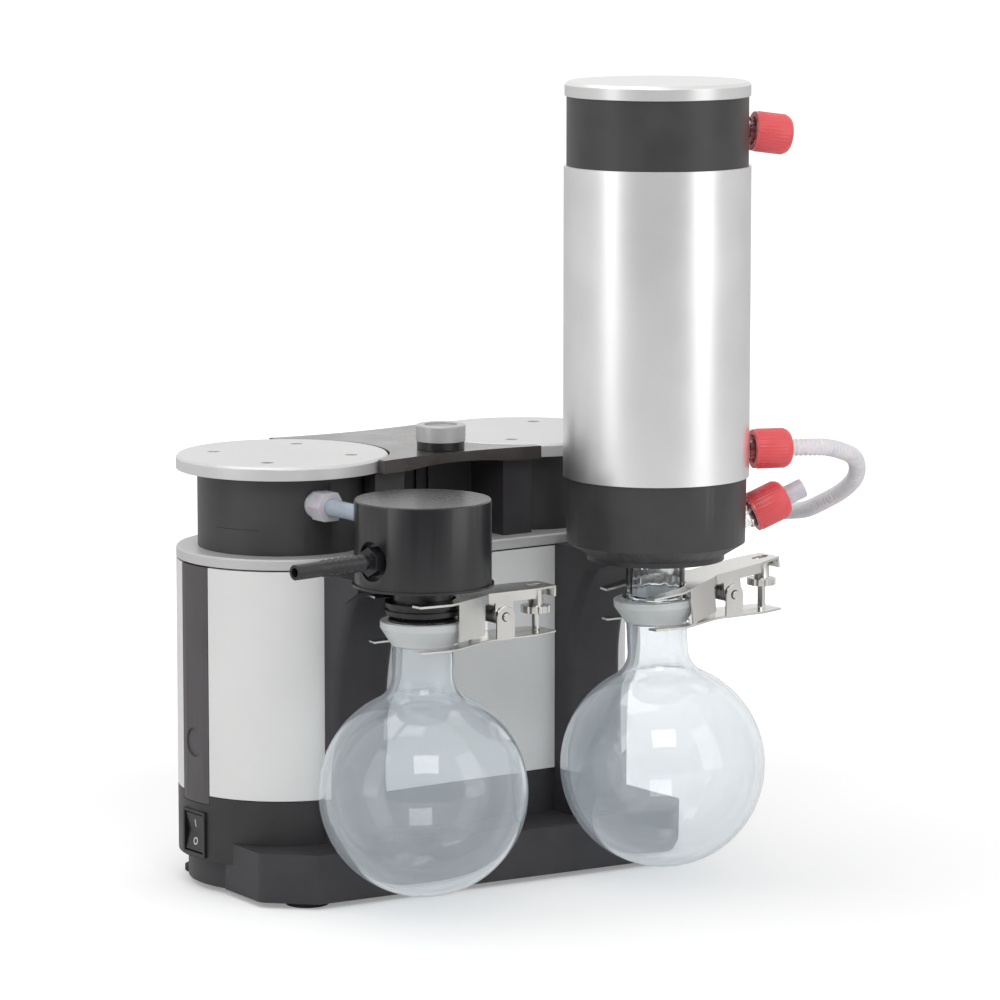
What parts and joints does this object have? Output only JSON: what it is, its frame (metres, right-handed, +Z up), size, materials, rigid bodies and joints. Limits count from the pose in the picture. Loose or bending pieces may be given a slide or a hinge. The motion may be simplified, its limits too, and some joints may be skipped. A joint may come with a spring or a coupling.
{
  "type": "diaphragm vacuum pump",
  "caption": "Laboratory diaphragm vacuum pump with a stadium-shaped two-headed body, a carrying bridge, a separator and a tall condenser, each with a clamped round-bottom flask.",
  "frame": {"origin": "on the floor under the middle of the pump's box, the vent hose left out", "axes": "+Z up, +X along the pump body from the switch end to the mains inlet end, -Y towards the flasks"},
  "size_m": [0.3528, 0.2318, 0.4123],
  "materials": {
    "rubber": "matte",
    "graphite_moulding": "matte",
    "housing_black": "satin",
    "panel_grey": "satin",
    "strip_grey": "satin",
    "deck_grey": "satin",
    "head_black": "satin",
    "cover_grey": "satin",
    "bridge_brown": "textured",
    "knob_grey": "satin",
    "switch_black": "gloss",
    "gloss_black": "gloss",
    "translucent_white": "translucent",
    "clear_blue": "clear",
    "satin_steel": "satin",
    "chrome": "polished",
    "steel": "machined",
    "copper": "satin",
    "green_board": "matte",
    "membrane": "matte",
    "cap_red": "gloss",
    "glass": "clear",
    "hose_white": "matte"
  },
  "bodies": {
    "pump": {"rubber_feet": "rubber", "base_tray": "graphite_moulding", "control_board": "green_board", "lower_housing": "housing_black", "housing_shell": "housing_black", "front_panel": "panel_grey", "rear_panel": "panel_grey", "end_columns": "strip_grey", "switch_frame": "switch_black", "mains_inlet": "switch_black", "top_deck": "deck_grey", "crank_housings": "steel", "shaft_bearings": "steel", "motor_stator": "copper", "diaphragms": "membrane", "valve_plates": "steel", "head_body_left": "head_black", "head_body_right": "head_black", "head_cover_left": "cover_grey", "head_cover_right": "cover_grey", "head_screws": "steel", "grip_core": "graphite_moulding", "carry_bridge": "bridge_brown", "knob_seat": "gloss_black", "separator_bracket": "graphite_moulding", "condenser_bracket": "graphite_moulding", "separator_body": "gloss_black", "separator_joint": "gloss_black", "inlet_barb": "gloss_black", "suction_fitting": "translucent_white", "suction_tube": "clear_blue", "outlet_fitting": "translucent_white", "condenser_base": "head_black", "condenser_jacket": "satin_steel", "condenser_collar": "head_black", "condenser_lid": "cover_grey", "condenser_vessel": "glass", "cooling_coil": "glass", "hose_nozzles": "translucent_white", "vent_hose": "hose_white", "clamp_left_upper_fork": "chrome", "clamp_right_upper_fork": "chrome", "clamp_pins": "chrome", "clamp_springs": "steel"},
    "power_key": {"rocker": "switch_black"},
    "vacuum_knob": {"control_knob": "knob_grey"},
    "cap_upper": {"red_cap_upper": "cap_red"},
    "cap_middle": {"red_cap_middle": "cap_red"},
    "cap_lower": {"red_cap_lower": "cap_red"},
    "flask_left": {"flask_left": "glass"},
    "flask_right": {"flask_right": "glass"},
    "jaw_left": {"clamp_left_lower_fork": "chrome"},
    "jaw_right": {"clamp_right_lower_fork": "chrome"},
    "nut_left": {"clamp_left_nut": "chrome"},
    "nut_right": {"clamp_right_nut": "chrome"},
    "rotor": {"rotor_shaft": "steel", "rotor_magnet": "steel", "cooling_fan": "switch_black"},
    "rod_left": {"conrod_left": "steel"},
    "rod_right": {"conrod_right": "steel"}
  },
  "joints": [
    {"name": "switch_rock", "type": "hinge", "parent": "pump", "child": "power_key", "pos_m": [-0.12871, 0.0612, 0.03025], "axis": [0, 1, 0], "range_deg": [-8, 8]},
    {"name": "knob_turn", "type": "hinge", "parent": "pump", "child": "vacuum_knob", "pos_m": [0.00074, 0.0282, 0.2255], "axis": [0, 0, 1], "range_deg": [0, 270]},
    {"name": "cap_upper_turn", "type": "hinge", "parent": "pump", "child": "cap_upper", "pos_m": [0.07144, -0.0619, 0.3929], "axis": [0.9193, -0.3714, -0.1305], "continuous": true},
    {"name": "cap_middle_turn", "type": "hinge", "parent": "pump", "child": "cap_middle", "pos_m": [0.07144, -0.0619, 0.224], "axis": [0.9272, -0.3746, 0], "continuous": true},
    {"name": "cap_lower_turn", "type": "hinge", "parent": "pump", "child": "cap_lower", "pos_m": [0.07144, -0.0619, 0.1683], "axis": [0.847, -0.3422, 0.4067], "continuous": true},
    {"name": "flask_left_turn", "type": "hinge", "parent": "pump", "child": "flask_left", "pos_m": [-0.06336, -0.0484, 0.15], "axis": [0, 0, 1], "continuous": true},
    {"name": "flask_right_turn", "type": "hinge", "parent": "pump", "child": "flask_right", "pos_m": [0.07144, -0.0619, 0.15], "axis": [-0.0431, 0.017, 0.9989], "continuous": true},
    {"name": "jaw_left_open", "type": "hinge", "parent": "pump", "child": "jaw_left", "pos_m": [-0.02136, -0.0484, 0.148], "axis": [0, -1, 0], "range_deg": [0, 10]},
    {"name": "jaw_right_open", "type": "hinge", "parent": "pump", "child": "jaw_right", "pos_m": [0.11344, -0.0619, 0.148], "axis": [0, -1, 0], "range_deg": [0, 10]},
    {"name": "nut_left_run", "type": "slide", "parent": "jaw_left", "child": "nut_left", "axis": [0, 0, -1], "range_m": [0, 0.0065]},
    {"name": "nut_right_run", "type": "slide", "parent": "jaw_right", "child": "nut_right", "axis": [0, 0, -1], "range_m": [0, 0.0065]},
    {"name": "rotor_spin", "type": "hinge", "parent": "pump", "child": "rotor", "pos_m": [0.00074, 0.0612, 0.105], "axis": [1, 0, 0], "continuous": true, "deforming": ["diaphragms"]},
    {"name": "rod_left_swing", "type": "hinge", "parent": "rotor", "child": "rod_left", "pos_m": [-0.07501, 0.0612, 0.1075], "axis": [1, 0, 0], "continuous": true},
    {"name": "rod_right_swing", "type": "hinge", "parent": "rotor", "child": "rod_right", "pos_m": [0.07649, 0.0612, 0.1025], "axis": [1, 0, 0], "continuous": true}
  ],
  "couplings": [
    {"joint": "nut_left_run", "follows": "jaw_left_open", "m_per_rad": 0.0344},
    {"joint": "nut_right_run", "follows": "jaw_right_open", "m_per_rad": 0.0344},
    {"joint": "rod_left_swing", "follows": "rotor_spin", "ratio": -1},
    {"joint": "rod_right_swing", "follows": "rotor_spin", "ratio": -1}
  ]
}
